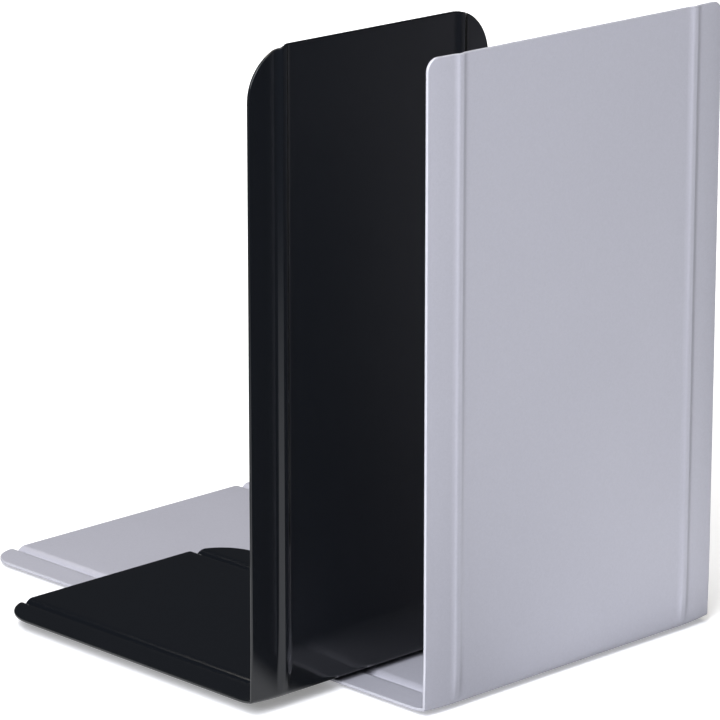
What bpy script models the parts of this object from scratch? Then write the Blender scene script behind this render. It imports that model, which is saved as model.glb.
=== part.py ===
"""A nested pair of book ends, each folded from one sheet of steel into an L.

Each book end is a plate that stands against the books and a base that runs in under them.
Two ribs are pressed into the sheet, one near each side edge.  They run down the plate, round
the bend and along the base, and they stand out on the outer side, so the book end rests on
the crests of its own ribs.  The black book end stands on the base of the silver one and can
be slid along it.

Metres, +Z up.  X runs across the book ends, Y runs from the plates towards the free ends of
the bases, and Z = 0 is the shelf.  The origin is the middle of the pair's footprint.
"""

import math

import bmesh
import bpy

# ---------------------------------------------------------------- sheet, ribs and bend
SHEET = 0.00125  # thickness of the painted steel
RIB_HEIGHT = 0.0015  # how far a rib stands out of the sheet's outer face
RIB_INSET = 0.015  # side edge of the sheet to the rib's centre line
RIB_CREST_FLAT = 0.0008  # narrow flat along the crest, which touches the shelf
RIB_CREST_INSIDE = 0.00025  # radius beside that flat, on the inner face
RIB_CREST_RADIUS = RIB_CREST_INSIDE + SHEET  # and on the outer face
RIB_SHOULDER_RADIUS = 0.0033  # outer radius where the rib runs out into the sheet
BEND_INSIDE = 0.00075  # inside of the 90 degree bend, on the flat of the sheet
BEND_RADIUS = BEND_INSIDE + SHEET  # and outside

# ---------------------------------------------------------------- silver book end
SILVER_WIDTH = 0.152
SILVER_DEPTH = 0.248  # outer side of the plate's ribs to the base's free edge
SILVER_HEIGHT = 0.240  # shelf to the plate's top edge
SILVER_PLATE_CORNER = 0.005
SILVER_BASE_CORNER = 0.013

# ---------------------------------------------------------------- black book end
BLACK_WIDTH = 0.118
BLACK_DEPTH = 0.147
BLACK_HEIGHT = 0.240
BLACK_PLATE_CORNER = 0.019
BLACK_BASE_CORNER = 0.019

# ---------------------------------------------------------------- how the two stand together
NEST_SIDE = 0.0445  # how far the black one stands out past the silver one's side edge
NEST_BACK = 0.0425  # outside of the silver plate to the outside of the black plate
REST_GAP = 0.0003  # clearance under the black one's ribs

# ---------------------------------------------------------------- fineness of the curves
ARC_STEPS = 4  # facets in each rib arc
BEND_STEPS = 8
CORNER_STEPS = 9

COLLECTION = "book_ends"
SMOOTH_BELOW = math.radians(35)


def clear_scene():
    for found in list(bpy.data.objects):
        bpy.data.objects.remove(found, do_unlink=True)


def steel_paint(name, colour, roughness, metallic):
    material = bpy.data.materials.new(name)
    material.use_nodes = True
    shader = material.node_tree.nodes["Principled BSDF"]
    shader.inputs["Base Color"].default_value = (*colour, 1.0)
    shader.inputs["Roughness"].default_value = roughness
    shader.inputs["Metallic"].default_value = metallic
    return material


def rib_section():
    """Half of a rib, as (distance from its centre line, height), from its crest to the flat sheet.

    The crest arc and the shoulder arc meet on one slope, so the angle that they both turn
    through follows from the rib's height and the two radii.
    """
    both = RIB_CREST_RADIUS + RIB_SHOULDER_RADIUS
    turn = math.acos(1 - RIB_HEIGHT / both)
    half_width = RIB_CREST_FLAT / 2 + both * math.sin(turn)
    section = []
    for step in range(ARC_STEPS + 1):
        angle = turn * step / ARC_STEPS
        across = RIB_CREST_FLAT / 2 + RIB_CREST_RADIUS * math.sin(angle)
        section.append((across, RIB_HEIGHT - RIB_CREST_RADIUS * (1 - math.cos(angle))))
    for step in range(1, ARC_STEPS + 1):
        angle = turn * (1 - step / ARC_STEPS)
        across = half_width - RIB_SHOULDER_RADIUS * math.sin(angle)
        section.append((across, RIB_SHOULDER_RADIUS * (1 - math.cos(angle))))
    return section


def bulge_at(across, section):
    """Height of the rib at this distance from its centre line, read off its facets."""
    if across <= section[0][0]:
        return section[0][1]
    for (near, high), (far, low) in zip(section, section[1:]):
        if across <= far:
            return high + (low - high) * (across - near) / (far - near)
    return 0.0


def corner_drop(edge_distance, radius):
    """How far a corner of this radius sets the end edge back, at a distance from the side edge."""
    reach = max(radius - edge_distance, 0.0)
    return radius - math.sqrt(radius**2 - reach**2)


def stations(width, corners):
    """Places across the sheet that carry a line of vertices: the ribs' facets and the corner arcs."""
    half = {0.0}
    for across, _ in rib_section():
        half |= {RIB_INSET - across, RIB_INSET + across}
    for radius in corners:
        for step in range(1, CORNER_STEPS + 1):
            half.add(radius * (1 - math.cos(math.pi / 2 * step / CORNER_STEPS)))
    places = sorted(half | {width - place for place in half})
    kept = places[:1]
    for place in places[1:]:
        if place - kept[-1] > SHEET / 10:
            kept.append(place)
    kept[-1] = width
    return kept


def rim_of(result):
    """The vertices and edges that an extrude or a spin made last."""
    made = result.get("geom_last") or result["geom"]
    verts = [item for item in made if isinstance(item, bmesh.types.BMVert)]
    edges = [item for item in made if isinstance(item, bmesh.types.BMEdge)]
    return verts, [edge for edge in edges if all(vert in verts for vert in edge.verts)]


def outer_face(name, width, depth, height, plate_corner, base_corner):
    """The sheet's outer face as an open surface: plate, bend and base in one sweep.

    The row of vertices at the plate's top edge is drawn once.  It is extruded down to the
    bend, spun through 90 degrees about the bend's axis, and extruded out to the free edge.
    """
    section = rib_section()
    bend_centre = RIB_HEIGHT + BEND_RADIUS
    bm = bmesh.new()
    top = []
    for place in stations(width, (plate_corner, base_corner)):
        edge_distance = min(place, width - place)
        bulge = bulge_at(abs(edge_distance - RIB_INSET), section)
        drop = corner_drop(edge_distance, plate_corner)
        top.append(bm.verts.new((place, RIB_HEIGHT - bulge, height - drop)))
    edges = [bm.edges.new(pair) for pair in zip(top, top[1:])]

    verts, edges = rim_of(bmesh.ops.extrude_edge_only(bm, edges=edges))
    for vert in verts:
        vert.co.z = bend_centre

    verts, edges = rim_of(
        bmesh.ops.spin(
            bm,
            geom=verts + edges,
            cent=(0, bend_centre, bend_centre),
            axis=(1, 0, 0),
            angle=math.pi / 2,
            steps=BEND_STEPS,
        )
    )

    verts, edges = rim_of(bmesh.ops.extrude_edge_only(bm, edges=edges))
    for vert in verts:
        edge_distance = min(vert.co.x, width - vert.co.x)
        vert.co.y = depth - corner_drop(max(edge_distance, 0.0), base_corner)

    mesh = bpy.data.meshes.new(name)
    bm.to_mesh(mesh)
    bm.free()
    return mesh


def book_end(name, location, material, **sizes):
    """One folded book end.  Its own origin is the near foot of its plate, on its resting plane."""
    mesh = outer_face(name, **sizes)
    mesh.materials.append(material)
    made = bpy.data.objects.new(name, mesh)
    made.location = location
    bpy.data.collections[COLLECTION].objects.link(made)

    wall = made.modifiers.new("sheet", "SOLIDIFY")
    wall.thickness = SHEET
    wall.offset = -1  # the wall grows inwards from the outer face
    wall.use_even_offset = True
    mesh.shade_smooth()
    mesh.set_sharp_from_angle(angle=SMOOTH_BELOW)
    return made


def slide_guide(name, location):
    """An empty at the foot of the black plate, which carries it along the silver base."""
    guide = bpy.data.objects.new(name, None)
    guide.empty_display_size = NEST_BACK
    guide.location = location
    bpy.data.collections[COLLECTION].objects.link(guide)
    return guide


def build():
    clear_scene()
    bpy.context.scene.collection.children.link(bpy.data.collections.new(COLLECTION))

    footprint_width = NEST_SIDE + max(SILVER_WIDTH, BLACK_WIDTH - NEST_SIDE)
    footprint_depth = max(SILVER_DEPTH, NEST_BACK + BLACK_DEPTH)
    silver_place = (NEST_SIDE - footprint_width / 2, -footprint_depth / 2, 0.0)
    black_place = (
        silver_place[0] - NEST_SIDE,
        silver_place[1] + NEST_BACK,
        RIB_HEIGHT + SHEET + REST_GAP,
    )

    book_end(
        "silver_book_end",
        silver_place,
        steel_paint("silver_paint", (0.50, 0.50, 0.56), 0.45, 0.25),
        width=SILVER_WIDTH,
        depth=SILVER_DEPTH,
        height=SILVER_HEIGHT,
        plate_corner=SILVER_PLATE_CORNER,
        base_corner=SILVER_BASE_CORNER,
    )
    black = book_end(
        "black_book_end",
        (0.0, 0.0, 0.0),
        steel_paint("black_paint", (0.010, 0.012, 0.015), 0.30, 0.0),
        width=BLACK_WIDTH,
        depth=BLACK_DEPTH,
        height=BLACK_HEIGHT,
        plate_corner=BLACK_PLATE_CORNER,
        base_corner=BLACK_BASE_CORNER,
    )
    black.parent = slide_guide("shelf_slide", black_place)


build()
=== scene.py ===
"""The visible surfaces of a nested pair of book ends, each folded from one sheet of steel.

A book end is one rounded sheet, folded once into an upright plate and a flat base.  Two ribs are
pressed outwards into it, near its side edges, and run from the plate's top edge round the fold to
the base's free edge.  The silver-grey one stands on the floor and the black one on its base.

Metres, +Z up: +X across the sheets, +Y from the plates to the free edges of the bases.
"""

import logging
import math
from dataclasses import dataclass
from enum import Enum

import bpy
import numpy as np
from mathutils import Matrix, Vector


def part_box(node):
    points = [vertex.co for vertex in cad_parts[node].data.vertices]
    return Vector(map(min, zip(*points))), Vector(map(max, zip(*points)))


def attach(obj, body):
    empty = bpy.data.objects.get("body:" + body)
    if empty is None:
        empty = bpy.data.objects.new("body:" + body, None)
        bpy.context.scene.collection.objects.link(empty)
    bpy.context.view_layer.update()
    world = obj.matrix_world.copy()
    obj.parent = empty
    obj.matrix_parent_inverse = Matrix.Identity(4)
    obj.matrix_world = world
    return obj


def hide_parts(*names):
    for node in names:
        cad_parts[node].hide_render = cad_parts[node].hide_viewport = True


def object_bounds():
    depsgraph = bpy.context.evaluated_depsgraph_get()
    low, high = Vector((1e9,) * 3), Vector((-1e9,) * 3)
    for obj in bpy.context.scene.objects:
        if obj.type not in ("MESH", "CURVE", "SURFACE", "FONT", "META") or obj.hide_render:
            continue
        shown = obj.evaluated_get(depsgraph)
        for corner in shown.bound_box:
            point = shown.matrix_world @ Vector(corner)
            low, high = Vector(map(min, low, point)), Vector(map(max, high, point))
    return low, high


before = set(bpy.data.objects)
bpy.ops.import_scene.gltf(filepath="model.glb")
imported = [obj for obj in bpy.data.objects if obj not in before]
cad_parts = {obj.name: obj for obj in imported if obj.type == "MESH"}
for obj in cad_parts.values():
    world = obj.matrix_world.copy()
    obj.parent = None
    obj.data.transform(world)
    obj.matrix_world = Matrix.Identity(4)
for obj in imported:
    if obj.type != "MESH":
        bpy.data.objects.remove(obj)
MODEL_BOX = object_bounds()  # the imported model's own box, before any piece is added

log = logging.getLogger("book_ends")

WHITE = (1.0, 1.0, 1.0, 1.0)


# ------------------------------------------------------------------------------- the lacquers
class Film(Enum):
    """How a lacquer has dried on the steel."""

    FLAKE = "satin, with metal flake in it"
    ENAMEL = "glossy and smooth, with a faint orange peel"


class Graph:
    """The nodes of one shader tree, with short calls to add them."""

    def __init__(self, tree: bpy.types.NodeTree) -> None:
        """Keeps the tree.

        Args:
            tree: node tree of a material or of the world.
        """
        self.tree = tree

    def add(self, kind: str, inputs: dict | None = None, **settings: object) -> bpy.types.Node:
        """Adds one node.

        Args:
            kind: the node's type, such as "ShaderNodeTexNoise".
            inputs: each input socket's name or number, with a value or with a socket to link.
            settings: the node's own properties.

        Returns:
            The new node.
        """
        node = self.tree.nodes.new(kind)
        for name, value in settings.items():
            setattr(node, name, value)
        for name, value in (inputs or {}).items():
            self.put(value, node.inputs[name])
        return node

    def put(self, value: object, target: bpy.types.NodeSocket) -> None:
        """Links a socket to an input, or sets the input's own value.

        Args:
            value: a socket, a number or a tuple.
            target: the input that takes it.
        """
        if isinstance(value, bpy.types.NodeSocket):
            self.tree.links.new(value, target)
        else:
            target.default_value = value

    def scaled(self, value: bpy.types.NodeSocket, low: float, high: float) -> bpy.types.NodeSocket:
        """Spreads a value that runs from 0 to 1 over another range.

        Args:
            value: the socket with the value.
            low: what 0 becomes.
            high: what 1 becomes.

        Returns:
            The socket with the new value.
        """
        inputs = {"Value": value, "To Min": low, "To Max": high}
        return self.add("ShaderNodeMapRange", inputs).outputs["Result"]

    def ramp(self, value: bpy.types.NodeSocket, low: float, high: float) -> bpy.types.NodeSocket:
        """Adds a smooth step from 0 to 1.

        Args:
            value: the socket with the value.
            low: where the step is 0.
            high: where it is 1; it may be the lesser of the two.

        Returns:
            The step's socket.
        """
        inputs = {"Value": value, "From Min": low, "From Max": high}
        step = self.add("ShaderNodeMapRange", inputs, interpolation_type="SMOOTHSTEP")
        return step.outputs["Result"]

    def maths(
        self,
        operation: str,
        first: bpy.types.NodeSocket | float,
        second: bpy.types.NodeSocket | float,
    ) -> bpy.types.NodeSocket:
        """Combines two values by one operation of the Math node.

        Args:
            operation: the node's operation, such as "MULTIPLY".
            first: a socket or a number.
            second: a socket or a number.

        Returns:
            The socket with the result.
        """
        return self.add("ShaderNodeMath", {0: first, 1: second}, operation=operation).outputs[0]


@dataclass(frozen=True)
class Lacquer:
    """A stoved lacquer on sheet steel."""

    slot: str
    film: Film
    colour: tuple[float, float, float]
    edge_colour: tuple[float, float, float]  # where the film is thin, along the cut edges
    rubbed_colour: tuple[float, float, float]  # where the ribs' crests slide on what they stand on
    metallic: float
    roughness: tuple[float, float]  # least and most, over the clouding of the film
    specular: float  # 0.5 shines as a clear film does, and 0 not at all
    grain: float  # size of the flake or of the orange peel
    grain_depth: float
    grain_contrast: float  # how far the grain lightens and darkens the colour, as a share
    clouds: float = 28.0  # frequency of the clouding, per metre
    patches: float = 160.0  # frequency of the patches in worn film, per metre
    patch_fade: tuple[float, float] = (0.4, 0.6)  # the noise levels between which a patch fades
    thin_patchy: float = 0.35  # how much of the thinning the patches can take away
    rubbed_patchy: float = 0.65  # how much of the rubbing they can take away
    rubbed_roughness: float = 0.15  # what full rubbing adds to the roughness

    def material(self) -> bpy.types.Material:
        """Builds the lacquer's material.

        Returns:
            A Principled material, patterned on the piece's object coordinates.
        """
        made = bpy.data.materials.new(self.slot)
        made.use_nodes = True
        graph = Graph(made.node_tree)
        shader = made.node_tree.nodes["Principled BSDF"]
        shader.inputs["Metallic"].default_value = self.metallic
        shader.inputs["Specular IOR Level"].default_value = self.specular
        place = graph.add("ShaderNodeTexCoord").outputs["Object"]

        grain = self.grain_pattern(graph, place)
        thin = self.wear(graph, place, "thin", self.thin_patchy)
        rubbed = self.wear(graph, place, "rubbed", self.rubbed_patchy)
        graph.put(self.tinted(graph, grain, thin, rubbed), shader.inputs["Base Color"])

        inputs = {"Vector": place, "Scale": self.clouds, "Detail": 3.0, "Roughness": 0.55}
        clouds = graph.add("ShaderNodeTexNoise", inputs).outputs["Fac"]
        scuffed = graph.maths("MULTIPLY", rubbed, self.rubbed_roughness)
        rough = graph.maths("ADD", graph.scaled(clouds, *self.roughness), scuffed)
        graph.put(rough, shader.inputs["Roughness"])

        inputs = {"Height": grain, "Distance": self.grain_depth, "Strength": 1.0}
        bump = graph.add("ShaderNodeBump", inputs)
        graph.put(bump.outputs["Normal"], shader.inputs["Normal"])
        return made

    def grain_pattern(self, graph: Graph, place: bpy.types.NodeSocket) -> bpy.types.NodeSocket:
        """Adds the fine pattern of the film.

        Flake is the random grey of small cells, mixed half and half with fine noise.  Orange
        peel is the noise alone.

        Args:
            graph: the material's nodes.
            place: the object coordinates.

        Returns:
            A socket from 0 to 1.
        """
        inputs = {"Vector": place, "Scale": 1 / self.grain}
        noise = graph.add("ShaderNodeTexNoise", {**inputs, "Detail": 2.0}).outputs["Fac"]
        if self.film is Film.ENAMEL:
            return noise
        cells = graph.add("ShaderNodeTexVoronoi", inputs).outputs["Color"]
        mixed = graph.add("ShaderNodeMix", {"Factor": 0.5, "A": noise, "B": cells})
        return mixed.outputs["Result"]

    def wear(
        self, graph: Graph, place: bpy.types.NodeSocket, attribute: str, patchy: float
    ) -> bpy.types.NodeSocket:
        """Reads how worn the film is from the mesh, and breaks it up with noise.

        Args:
            graph: the material's nodes.
            place: the object coordinates.
            attribute: name of the mesh's attribute, which runs from 0 to 1.
            patchy: how much of the wear the noise can take away.

        Returns:
            A socket from 0 to 1.
        """
        worn = graph.add("ShaderNodeAttribute", attribute_name=attribute).outputs["Fac"]
        inputs = {"Vector": place, "Scale": self.patches, "Detail": 4.0, "Roughness": 0.6}
        noise = graph.add("ShaderNodeTexNoise", inputs).outputs["Fac"]
        low, high = self.patch_fade
        inputs = {"Value": noise, "From Min": low, "From Max": high, "To Min": 1 - patchy}
        kept = graph.add("ShaderNodeMapRange", inputs).outputs["Result"]
        return graph.maths("MULTIPLY", worn, kept)

    def tinted(
        self,
        graph: Graph,
        grain: bpy.types.NodeSocket,
        thin: bpy.types.NodeSocket,
        rubbed: bpy.types.NodeSocket,
    ) -> bpy.types.NodeSocket:
        """Colours the film by its grain, its thin edges and its rubbed crests.

        The colour runs from the darker to the lighter one with the grain, then to the edge's
        where the film is thin, and then to the rubbed one.

        Args:
            graph: the material's nodes.
            grain: the fine pattern, from 0 to 1.
            thin: where the film has run thin, from 0 to 1.
            rubbed: where it has been rubbed, from 0 to 1.

        Returns:
            The socket with the base colour.
        """
        darker, lighter = (
            tuple(part * (1 + sign * self.grain_contrast) for part in self.colour)
            for sign in (-1, 1)
        )
        colour = (*darker, 1.0)
        tints = ((grain, lighter), (thin, self.edge_colour), (rubbed, self.rubbed_colour))
        for share, tint in tints:
            mixed = graph.add("ShaderNodeMix", data_type="RGBA")
            sockets = {one.identifier: one for one in mixed.inputs}
            graph.put(share, sockets["Factor_Float"])
            graph.put(colour, sockets["A_Color"])
            graph.put((*tint, 1.0), sockets["B_Color"])
            colour = next(one for one in mixed.outputs if one.identifier == "Result_Color")
        return colour


SILVER_GREY = Lacquer(
    slot="silver_paint",
    film=Film.FLAKE,
    colour=(0.47, 0.47, 0.53),
    edge_colour=(0.55, 0.55, 0.60),
    rubbed_colour=(0.40, 0.40, 0.42),
    metallic=0.25,
    roughness=(0.40, 0.50),
    specular=0.5,
    grain=0.0007,
    grain_depth=0.00002,
    grain_contrast=0.05,
)

BLACK = Lacquer(
    slot="black_paint",
    film=Film.ENAMEL,
    colour=(0.0045, 0.0055, 0.0075),
    edge_colour=(0.006, 0.007, 0.008),
    rubbed_colour=(0.05, 0.05, 0.05),
    metallic=0.0,
    roughness=(0.10, 0.15),
    specular=0.38,
    grain=0.0025,
    grain_depth=0.00001,
    grain_contrast=0.10,
)


# ------------------------------------------------------------------------- the folded sheets
@dataclass(frozen=True)
class Rib:
    """A rib pressed outwards into the sheet.

    In section it has a narrow flat along its crest, an arc down each side of it, and a wider
    arc on each side that runs out into the sheet.  The arcs meet on one slope.
    """

    inset: float  # side edge of the sheet to the rib's centre line
    plate_share: float  # its height on the plate, as a share of its height on the base
    height: float = 0.0015
    crest_flat: float = 0.0008
    crest_radius: float = 0.0015
    shoulder_radius: float = 0.0033
    fold_reach: float = 0.0055  # where it has regained 63 % of its height, from the fold's middle

    @property
    def half_width(self) -> float:
        """Centre line to where the rib has run out into the sheet."""
        both = self.crest_radius + self.shoulder_radius
        return self.crest_flat / 2 + both * math.sin(math.acos(1 - self.height / both))

    def rise(self, across: np.ndarray) -> np.ndarray:
        """Height of the rib's outer face over the sheet.

        The crest arc falls by its radius less the root of radius squared minus distance
        squared, with distance counted from the crest's flat.  The shoulder arc rises in the
        same way, with distance counted back from where the rib runs out.  The height is the
        crest arc's as far as the slope that the two share, and the shoulder arc's after it.

        Args:
            across: distances from the rib's centre line.

        Returns:
            The heights, of the same shape.
        """
        distance = np.abs(across)
        both = self.crest_radius + self.shoulder_radius
        turn = math.acos(1 - self.height / both)
        on_crest = np.clip(distance - self.crest_flat / 2, 0, self.crest_radius * math.sin(turn))
        crest = self.height - self.crest_radius + np.sqrt(self.crest_radius**2 - on_crest**2)
        back = np.clip(self.half_width - distance, 0, self.shoulder_radius * math.sin(turn))
        shoulder = self.shoulder_radius - np.sqrt(self.shoulder_radius**2 - back**2)
        shared = self.crest_flat / 2 + self.crest_radius * math.sin(turn)
        return np.where(distance < shared, crest, shoulder)


FINE_STEPS = 20000  # of the running total that the lines of a grid are placed by
END_CROWDING = 3.0  # what an end adds to the grid's density, at END_REACH from it
END_REACH = 0.012
RIB_STRETCH, RIB_CROWDING = 1.1, 16.0  # half a dense stretch, in half-widths, and what it adds
FOLD_STRETCH, FOLD_CROWDING = 0.7, 16.0  # the same over the fold, in lengths of the fold
PULL_STRETCH, PULL_CROWDING = 1.5, 5.0  # the same where the strips are drawn in, in reaches
CORNER_REACH = 2.5  # how far the grid's rows bend with the corners, in corner radii


@dataclass
class BookEnd:
    """One folded sheet: its sizes, its surfaces and its finish.

    A point of the sheet is named by its place across it and its place along it, as if it lay
    unfolded: across from the side edge at low X, and along from the plate's top edge.
    """

    node: str
    body: str
    piece_name: str
    lacquer: Lacquer
    plate_corner: float
    base_corner: float
    rib: Rib
    thickness: float = 0.00125
    bend_radius: float = 0.0020  # of the outer face, between the ribs
    edge_radius: float = 0.0004  # of the cut edge, deburred and painted over
    side_pull: float = 0.0008  # how far the fold draws in the strips outside the ribs
    pull_reach: float = 0.014  # length of the bell curve by which that fades up the plate
    bow: float = 0.0008  # how far the plate's panel stands out past its side edges
    columns: int = 200
    rows: int = 140
    edge_steps: int = 4

    def __post_init__(self) -> None:
        """Takes the overall sizes and the place of the sheet from its node's box."""
        low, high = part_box(self.node)
        self.corner = np.array(low)
        self.width, depth, height = high - low
        self.fold_centre = self.rib.height + self.bend_radius
        self.plate_length = height - self.fold_centre
        self.fold_length = self.bend_radius * math.pi / 2
        self.base_length = depth - self.fold_centre
        self.length = self.plate_length + self.fold_length + self.base_length

    def rise(self, across: np.ndarray, along: np.ndarray) -> np.ndarray:
        """Height of the outer face over the flat sheet's.

        The ribs' own height is multiplied by one less a bell curve of the distance from the
        fold, since folding the sheet presses them flat there.  Outside the ribs the strips are
        drawn in behind the flat sheet: most at the side edge, falling with the square of the
        distance to the rib, and as a bell curve up the plate, which is a quarter as long on
        the base's side of the fold.  The plate's strips lean back besides, along a parabola
        that levels off at the ribs, so the panel stands half the bow out and the edges half
        the bow in.  That fades out near the fold and isn't there on the base.

        Args:
            across: places across the sheet.
            along: places along it.

        Returns:
            The heights.
        """
        edge_distance = np.minimum(across, self.width - across)
        from_fold = along - self.plate_length - self.fold_length / 2
        on_plate = 0.5 - 0.5 * np.tanh(from_fold / self.fold_length)
        kept = 1 - np.exp(-((from_fold / self.rib.fold_reach) ** 2))
        kept = kept * (1 - (1 - self.rib.plate_share) * on_plate)
        strip = np.clip(1 - edge_distance / self.rib.inset, 0, 1) ** 2
        reach = np.where(from_fold < 0, self.pull_reach, self.pull_reach / 4)
        bell = np.exp(-((from_fold / reach) ** 2))
        ribbed = self.rib.rise(edge_distance - self.rib.inset) * kept
        bowed = self.bow * (0.5 - strip) * on_plate * (1 - bell)
        return ribbed + bowed - self.side_pull * strip * bell

    def surface(self, across: np.ndarray, along: np.ndarray, depth: np.ndarray) -> np.ndarray:
        """Points in or on the sheet.

        The flat sheet's path runs straight down the plate, through a quarter circle and
        straight out along the base.  The outer face is lifted along the path's normal by its
        rise.  Its own normal is the path's normal less each slope of the rise times that
        slope's direction, made a unit long, and the point lies at its depth behind the face.

        Args:
            across: places across the sheet.
            along: places along it.
            depth: distances into the sheet from its outer face.

        Returns:
            World coordinates, with one more axis than the arguments.
        """
        across, along, depth = np.broadcast_arrays(across, along, depth)
        turn = np.clip((along - self.plate_length) / self.bend_radius, 0, math.pi / 2)
        above = np.maximum(self.plate_length - along, 0)
        beyond = np.maximum(along - self.plate_length - self.fold_length, 0)
        none = np.zeros_like(turn)
        path = np.stack(
            (
                across,
                self.fold_centre - self.bend_radius * np.cos(turn) + beyond,
                self.fold_centre - self.bend_radius * np.sin(turn) + above,
            ),
            axis=-1,
        )
        path_normal = np.stack((none, -np.cos(turn), -np.sin(turn)), axis=-1)
        path_direction = np.stack((none, np.sin(turn), -np.cos(turn)), axis=-1)
        sideways = np.array((1.0, 0.0, 0.0))

        small = self.thickness / 1000
        higher, lower = self.rise(across + small, along), self.rise(across - small, along)
        slope_across = (higher - lower) / (2 * small)
        higher, lower = self.rise(across, along + small), self.rise(across, along - small)
        slope_along = (higher - lower) / (2 * small)
        face_normal = path_normal - slope_across[..., None] * sideways
        face_normal = face_normal - slope_along[..., None] * path_direction
        face_normal /= np.linalg.norm(face_normal, axis=-1, keepdims=True)

        lifted = path + self.rise(across, along)[..., None] * path_normal
        return self.corner + lifted - depth[..., None] * face_normal

    @staticmethod
    def spaced(count: int, length: float, dense_at: list[tuple[float, float, float]]) -> np.ndarray:
        """Places from one edge to the other, close together at the edges and where it matters.

        The places are where the running total of a density reaches equal steps.  The density is
        one, plus the crowding of an end times the root of its reach over the distance to the
        nearer end, which spaces a rounded corner's points evenly, plus a block over each dense
        stretch.

        Args:
            count: how many places.
            length: the whole length.
            dense_at: the middle, half-width and added density of each dense stretch.

        Returns:
            The places, from 0 to the length.
        """
        fine = np.linspace(0, length, FINE_STEPS + 1)
        to_end = np.minimum(fine, length - fine) + length / FINE_STEPS
        density = 1 + END_CROWDING * np.sqrt(END_REACH / to_end)
        for middle, half, added in dense_at:
            density += added * (np.abs(fine - middle) < half)
        total = np.concatenate(([0.0], np.cumsum((density[1:] + density[:-1]) / 2)))
        return np.interp(np.linspace(0, total[-1], count), total, fine)

    def plan(self) -> tuple[np.ndarray, np.ndarray]:
        """The grid of the sheet's flat faces, inside its rounded cut edge.

        The rows run straight across the middle of the sheet.  Within reach of an end they bend
        with its corners: a row's set-back is the end's, times one less its distance over that
        reach.  The set-back of a corner is its radius less the root of radius squared minus
        the square of radius less distance from the side edge.

        Returns:
            Places across and along, each as a grid of rows by columns.
        """
        inset = self.edge_radius
        inner_width = self.width - 2 * inset
        inner_length = self.length - 2 * inset
        centre, half = self.rib.inset - inset, self.rib.half_width * RIB_STRETCH
        ribs = [(middle, half, RIB_CROWDING) for middle in (centre, inner_width - centre)]
        across = self.spaced(self.columns, inner_width, ribs)
        fold = self.plate_length + self.fold_length / 2
        folds = [
            (fold, self.fold_length * FOLD_STRETCH, FOLD_CROWDING),
            (fold, self.pull_reach * PULL_STRETCH, PULL_CROWDING),
        ]
        along = self.spaced(self.rows, inner_length, folds)[:, None]

        edge_distance = np.maximum(np.minimum(across, inner_width - across), 0)
        setbacks = []
        for radius in (self.plate_corner - inset, self.base_corner - inset):
            short = np.maximum(radius - edge_distance, 0)
            setbacks.append(radius - np.sqrt(radius**2 - short**2))
        reach = CORNER_REACH * max(self.plate_corner, self.base_corner)
        along = (
            along
            + setbacks[0] * np.maximum(1 - along / reach, 0)
            - setbacks[1] * np.maximum(1 - (inner_length - along) / reach, 0)
        )
        across = np.broadcast_to(across, along.shape)
        return across + inset, along + inset

    def rim(
        self, across: np.ndarray, along: np.ndarray
    ) -> tuple[np.ndarray, np.ndarray, np.ndarray]:
        """The rounded cut edge, as rings of points round the sheet.

        From the grid's boundary each ring stands out along the outline's normal by the edge's
        radius times the sine of its angle, and lies at a depth of that radius times one less
        the cosine.  The second half of the rings mirrors this about the middle of the sheet.
        The outline's normal is sideways on the side edges, and at an end its sideways part is
        the radius less the distance from the side edge, over the radius.

        Args:
            across: the grid's places across.
            along: its places along.

        Returns:
            Places across, places along and depths, each as a grid of rings by boundary points.
        """
        loop_across, loop_along = self.boundary(across), self.boundary(along)
        edge_distance = np.minimum(across[0], self.width - across[0]) - self.edge_radius
        edge_distance = np.maximum(edge_distance, 0)
        side = np.where(across[0] < self.width / 2, -1.0, 1.0)
        normals = []
        for radius, outwards in ((self.plate_corner, -1.0), (self.base_corner, 1.0)):
            radius = radius - self.edge_radius
            sideways = side * np.maximum(radius - edge_distance, 0) / radius
            normals.append((sideways, outwards * np.sqrt(1 - sideways**2)))
        rows = across.shape[0]
        normal_across = np.concatenate(
            (normals[0][0], np.ones(rows - 2), normals[1][0][::-1], -np.ones(rows - 2))
        )
        normal_along = np.concatenate(
            (normals[0][1], np.zeros(rows - 2), normals[1][1][::-1], np.zeros(rows - 2))
        )
        angle = np.linspace(0, math.pi / 2, self.edge_steps + 1)
        out = self.edge_radius * np.sin(angle)
        into = self.edge_radius * (1 - np.cos(angle))
        out = np.concatenate((out, out[::-1]))[:, None]
        into = np.concatenate((into, self.thickness - into[::-1]))[:, None]
        return loop_across + out * normal_across, loop_along + out * normal_along, into

    @staticmethod
    def boundary(grid: np.ndarray) -> np.ndarray:
        """The entries round the edge of a grid, once round from its first entry."""
        return np.concatenate((grid[0], grid[1:-1, -1], grid[-1, ::-1], grid[-2:0:-1, 0]))

    def build(self) -> bpy.types.Object:
        """Builds the piece, dresses it and hands it to its body.

        The two faces of the sheet share their boundary points with the first and last rings of
        the rim, so the mesh is one closed skin.

        Returns:
            The finished piece.
        """
        across, along = self.plan()
        rim_across, rim_along, rim_depth = self.rim(across, along)
        outer = np.arange(across.size).reshape(across.shape)
        inner = outer + across.size
        rim_across, rim_along, rim_depth = rim_across[1:-1], rim_along[1:-1], rim_depth[1:-1]
        between = np.arange(rim_across.size).reshape(rim_across.shape) + 2 * across.size
        rings = np.vstack((self.boundary(outer), between, self.boundary(inner)))
        rings = np.hstack((rings, rings[:, :1]))

        points = np.concatenate(
            (
                self.surface(across, along, 0.0).reshape(-1, 3),
                self.surface(across, along, self.thickness).reshape(-1, 3),
                self.surface(rim_across, rim_along, rim_depth).reshape(-1, 3),
            )
        )
        faces = np.concatenate((quads(outer)[:, ::-1], quads(inner), quads(rings)))

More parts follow.
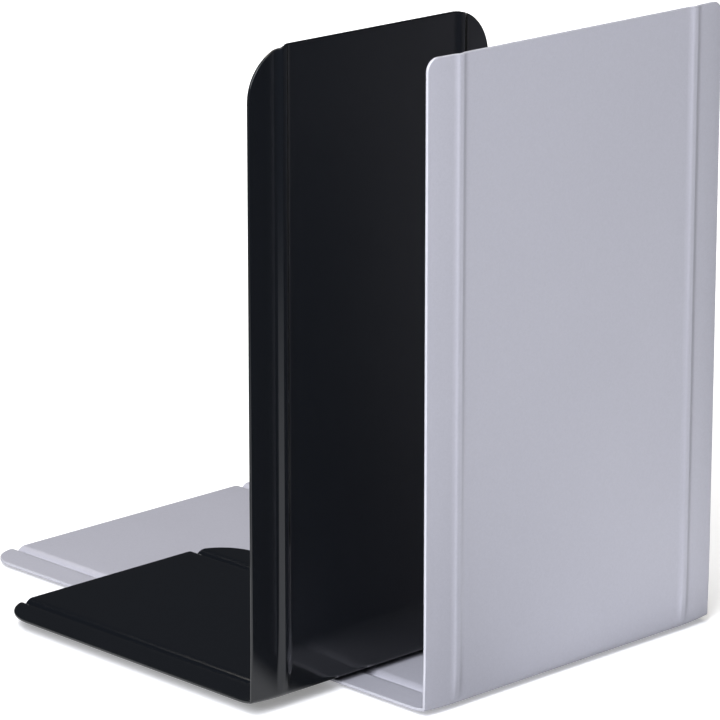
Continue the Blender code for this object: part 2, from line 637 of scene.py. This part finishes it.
        mesh = bpy.data.meshes.new(self.piece_name)
        mesh.from_pydata(points, [], faces)
        mesh.shade_smooth()
        self.write_wear(mesh, across, along)
        mesh.materials.append(self.lacquer.material())
        piece = bpy.data.objects.new(self.piece_name, mesh)
        bpy.context.scene.collection.objects.link(piece)
        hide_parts(self.node)
        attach(piece, self.body)
        log.info("%s: %d faces, %.1f mm wide", self.piece_name, len(faces), self.width * 1000)
        return piece

    def write_wear(self, mesh: bpy.types.Mesh, across: np.ndarray, along: np.ndarray) -> None:
        """Writes where the film is thin and where it is rubbed, as attributes of the points.

        It is thin on the rounded cut edge, whose points follow those of the two faces.  It is
        rubbed on the outer face's crests along the base, by the eighth power of the face's
        height over the ribs' own.

        Args:
            mesh: the piece's mesh.
            across: the grid's places across.
            along: its places along.
        """
        thin = np.ones(len(mesh.vertices))
        thin[: 2 * across.size] = 0
        rubbed = np.zeros(len(mesh.vertices))
        height = np.clip(self.rise(across, along) / self.rib.height, 0, 1)
        on_base = along > self.plate_length + self.fold_length
        rubbed[: across.size] = np.where(on_base, height**8, 0).ravel()
        for name, values in (("thin", thin), ("rubbed", rubbed)):
            mesh.attributes.new(name, "FLOAT", "POINT").data.foreach_set("value", values)


def quads(index: np.ndarray) -> np.ndarray:
    """Four-sided faces between the neighbouring entries of a grid of vertex numbers."""
    corners = (index[:-1, :-1], index[:-1, 1:], index[1:, 1:], index[1:, :-1])
    return np.stack(corners, axis=-1).reshape(-1, 4)


# --------------------------------------------------------------------------------- the studio
@dataclass(frozen=True)
class Softbox:
    """A square soft light, placed round the middle of the object and aimed at it."""

    name: str
    azimuth: float  # degrees; 0 stands on the -Y side and 90 on the +X side
    elevation: float
    distance: float
    size: float
    power: float
    tint: tuple[float, float, float] = (1.0, 1.0, 1.0)

    def build(self, middle: Vector) -> bpy.types.Object:
        """Makes the light.

        Args:
            middle: the point that it is aimed at.

        Returns:
            The light's object.
        """
        light = bpy.data.lights.new(self.name, "AREA")
        light.shape = "SQUARE"
        light.size = self.size
        light.energy = self.power
        light.color = self.tint
        made = bpy.data.objects.new(self.name, light)
        away = towards(self.azimuth, self.elevation)
        made.location = middle + away * self.distance
        made.rotation_euler = (-away).to_track_quat("-Z", "Y").to_euler()
        bpy.context.scene.collection.objects.link(made)
        return made


@dataclass
class Studio:
    """The pale floor, the lights, the surroundings and the camera."""

    floor_size: float = 9.0
    floor_drop: float = 0.0001  # keeps the floor clear of the ribs that stand on it
    floor_colour: tuple[float, float, float, float] = (0.90, 0.90, 0.90, 1.0)
    floor_roughness: float = 0.9
    floor_specular: float = 0.1
    floor_glow: tuple[float, float] = (0.26, 1.0)  # under the object and far from it
    glow_fade: tuple[float, float] = (0.2, 0.9)  # distances from the object between the two
    patch_right: tuple[float, float] = (-0.06, -0.08)  # X where the patch starts and is full
    patch_back: tuple[float, float] = (0.09, 0.07)  # Y where it starts and is full
    patch_fade: tuple[float, float] = (0.9, 0.15)  # distances where it has faded and is full
    slant: tuple[float, float, float] = (0.719, 0.695, 0.0)  # level, and square to the band
    band_left: tuple[float, float] = (-0.112, -0.072)  # along the slant, start and full
    band_right: tuple[float, float] = (0.10, 0.02)
    band_back: tuple[float, float] = (-0.122, -0.142)  # Y where it starts and is full
    rear_left: tuple[float, float] = (0.14, 0.20)  # along the slant, behind the object
    card_colour: tuple[float, float, float, float] = (0.06, 0.06, 0.06, 1.0)
    surroundings: tuple[float, float, float, float] = (0.042, 0.043, 0.047, 1.0)
    lights: tuple[Softbox, ...] = (
        Softbox(
            "key_light", azimuth=-66, elevation=35, distance=1.6, size=1.0, power=30.5,
            tint=(0.96, 0.98, 1.04),
        ),
        Softbox("top_light", azimuth=-75, elevation=65, distance=1.6, size=1.0, power=15.5),
        Softbox(
            "back_light", azimuth=165, elevation=60, distance=1.8, size=0.9, power=9,
            tint=(1.05, 0.99, 0.90),
        ),
    )
    camera_azimuth: float = -44.01
    camera_elevation: float = 15.76
    camera_distance: float = 1.6472
    camera_right: float = 0.02297
    camera_up: float = -0.02290
    camera_sight: float = 50.0  # how far it sees
    lens: float = 218.4

    def build(self) -> None:
        """Builds the whole studio round the model's box."""
        low, high = MODEL_BOX
        middle = (low + high) / 2
        self.build_floor(low.z)
        self.build_surroundings()
        for light in self.lights:
            light.build(middle)
        self.build_camera(middle)
        bpy.context.scene.view_settings.view_transform = "Standard"

    def build_floor(self, height: float) -> None:
        """Lays the floor.

        Args:
            height: the level that the object stands on.
        """
        half = self.floor_size / 2
        outline = ((-half, -half), (half, -half), (half, half), (-half, half))
        corners = [(x, y, height - self.floor_drop) for x, y in outline]
        mesh = bpy.data.meshes.new("floor")
        mesh.from_pydata(corners, [], [(0, 1, 2, 3)])
        mesh.materials.append(self.paper())
        floor = bpy.data.objects.new("floor", mesh)
        bpy.context.scene.collection.objects.link(floor)

    def paper(self) -> bpy.types.Material:
        """Builds the floor's paper.

        Its glow rises with distance from the object, to make up for the lights' falloff.  Where
        it isn't shown in reflections, a mirror-like face sees it as dark as a black card.

        Returns:
            The material.
        """
        made = bpy.data.materials.new("floor_paper")
        made.use_nodes = True
        graph = Graph(made.node_tree)
        shader = made.node_tree.nodes["Principled BSDF"]
        output = made.node_tree.nodes["Material Output"]
        shader.inputs["Base Color"].default_value = self.floor_colour
        shader.inputs["Roughness"].default_value = self.floor_roughness
        shader.inputs["Specular IOR Level"].default_value = self.floor_specular
        shader.inputs["Emission Color"].default_value = WHITE

        place = graph.add("ShaderNodeTexCoord").outputs["Object"]
        apart = graph.add("ShaderNodeVectorMath", {0: place}, operation="LENGTH").outputs["Value"]
        glow = graph.scaled(graph.ramp(apart, *self.glow_fade), *self.floor_glow)
        graph.put(glow, shader.inputs["Emission Strength"])

        hidden = graph.maths("SUBTRACT", 1.0, self.reflected(graph, place, apart))
        mirrored = graph.add("ShaderNodeLightPath").outputs["Is Glossy Ray"]
        carded = graph.maths("MULTIPLY", mirrored, hidden)
        card = graph.add("ShaderNodeEmission", {"Color": self.card_colour, "Strength": 1.0})
        inputs = {0: carded, 1: shader.outputs[0], 2: card.outputs[0]}
        mixed = graph.add("ShaderNodeMixShader", inputs)
        graph.put(mixed.outputs[0], output.inputs["Surface"])
        return made

    def reflected(
        self, graph: Graph, place: bpy.types.NodeSocket, apart: bpy.types.NodeSocket
    ) -> bpy.types.NodeSocket:
        """Marks where the paper is shown in reflections.

        That is in a patch on the object's -X side, which fades with distance, in a slanting
        band in front of the silver plate, and behind the object past a line on the same slant.

        Args:
            graph: the paper's nodes.
            place: the object coordinates.
            apart: the distance from the object.

        Returns:
            A socket from 0, where the paper is hidden, to 1.
        """
        axes = graph.add("ShaderNodeSeparateXYZ", {0: place}).outputs
        left = graph.ramp(axes["X"], *self.patch_right)
        front = graph.ramp(axes["Y"], *self.patch_back)
        near = graph.ramp(apart, *self.patch_fade)
        patch = graph.maths("MULTIPLY", graph.maths("MULTIPLY", left, front), near)

        inputs = {0: place, 1: self.slant}
        aside = graph.add("ShaderNodeVectorMath", inputs, operation="DOT_PRODUCT").outputs["Value"]
        starts = graph.ramp(aside, *self.band_left)
        ends = graph.ramp(aside, *self.band_right)
        ahead = graph.ramp(axes["Y"], *self.band_back)
        band = graph.maths("MULTIPLY", graph.maths("MULTIPLY", starts, ends), ahead)

        back = graph.maths("SUBTRACT", 1.0, front)
        rear = graph.maths("MULTIPLY", graph.ramp(aside, *self.rear_left), back)
        return graph.maths("MAXIMUM", graph.maths("MAXIMUM", patch, band), rear)

    def build_surroundings(self) -> None:
        """Makes the room: dim where it lights the object, pale where the view looks past it."""
        world = bpy.data.worlds.new("studio")
        world.use_nodes = True
        graph = Graph(world.node_tree)
        dim = world.node_tree.nodes["Background"]
        dim.inputs["Color"].default_value = self.surroundings
        output = world.node_tree.nodes["World Output"]
        pale = graph.add("ShaderNodeBackground", {"Color": WHITE})
        seen = graph.add("ShaderNodeLightPath").outputs["Is Camera Ray"]
        mixed = graph.add("ShaderNodeMixShader", {0: seen, 1: dim.outputs[0], 2: pale.outputs[0]})
        graph.put(mixed.outputs[0], output.inputs["Surface"])
        bpy.context.scene.world = world

    def build_camera(self, middle: Vector) -> None:
        """Places the camera.

        It stands back from the model's middle along its line of sight, and is then moved
        sideways and up in its own picture plane.

        Args:
            middle: the middle of the model's box.
        """
        lens = bpy.data.cameras.new("camera")
        lens.lens = self.lens
        lens.clip_end = self.camera_sight
        camera = bpy.data.objects.new("camera", lens)
        away = towards(self.camera_azimuth, self.camera_elevation)
        right = Vector((0, 0, 1)).cross(away).normalized()
        up = away.cross(right)
        moved = right * self.camera_right + up * self.camera_up
        camera.location = middle + away * self.camera_distance + moved
        camera.rotation_euler = (-away).to_track_quat("-Z", "Y").to_euler()
        bpy.context.scene.collection.objects.link(camera)
        bpy.context.scene.camera = camera


def towards(azimuth: float, elevation: float) -> Vector:
    """The direction out to a place round the object.

    Args:
        azimuth: degrees; 0 is the -Y side and 90 the +X side.
        elevation: degrees above the floor.

    Returns:
        A unit vector.
    """
    turn, lift = math.radians(azimuth), math.radians(elevation)
    level = math.cos(lift)
    return Vector((math.sin(turn) * level, -math.cos(turn) * level, math.sin(lift)))


def main() -> None:
    """Builds both book ends and the studio."""
    logging.basicConfig(level=logging.INFO, format="%(name)s: %(message)s")
    BookEnd(
        node="silver_book_end",
        body="silver",
        piece_name="silver_sheet",
        lacquer=SILVER_GREY,
        plate_corner=0.005,
        base_corner=0.013,
        rib=Rib(inset=0.0155, plate_share=0.44),
    ).build()
    BookEnd(
        node="black_book_end",
        body="black",
        piece_name="black_sheet",
        lacquer=BLACK,
        plate_corner=0.019,
        base_corner=0.019,
        rib=Rib(inset=0.0152, plate_share=0.9),
    ).build()
    Studio().build()


if __name__ == "__main__":
    main()
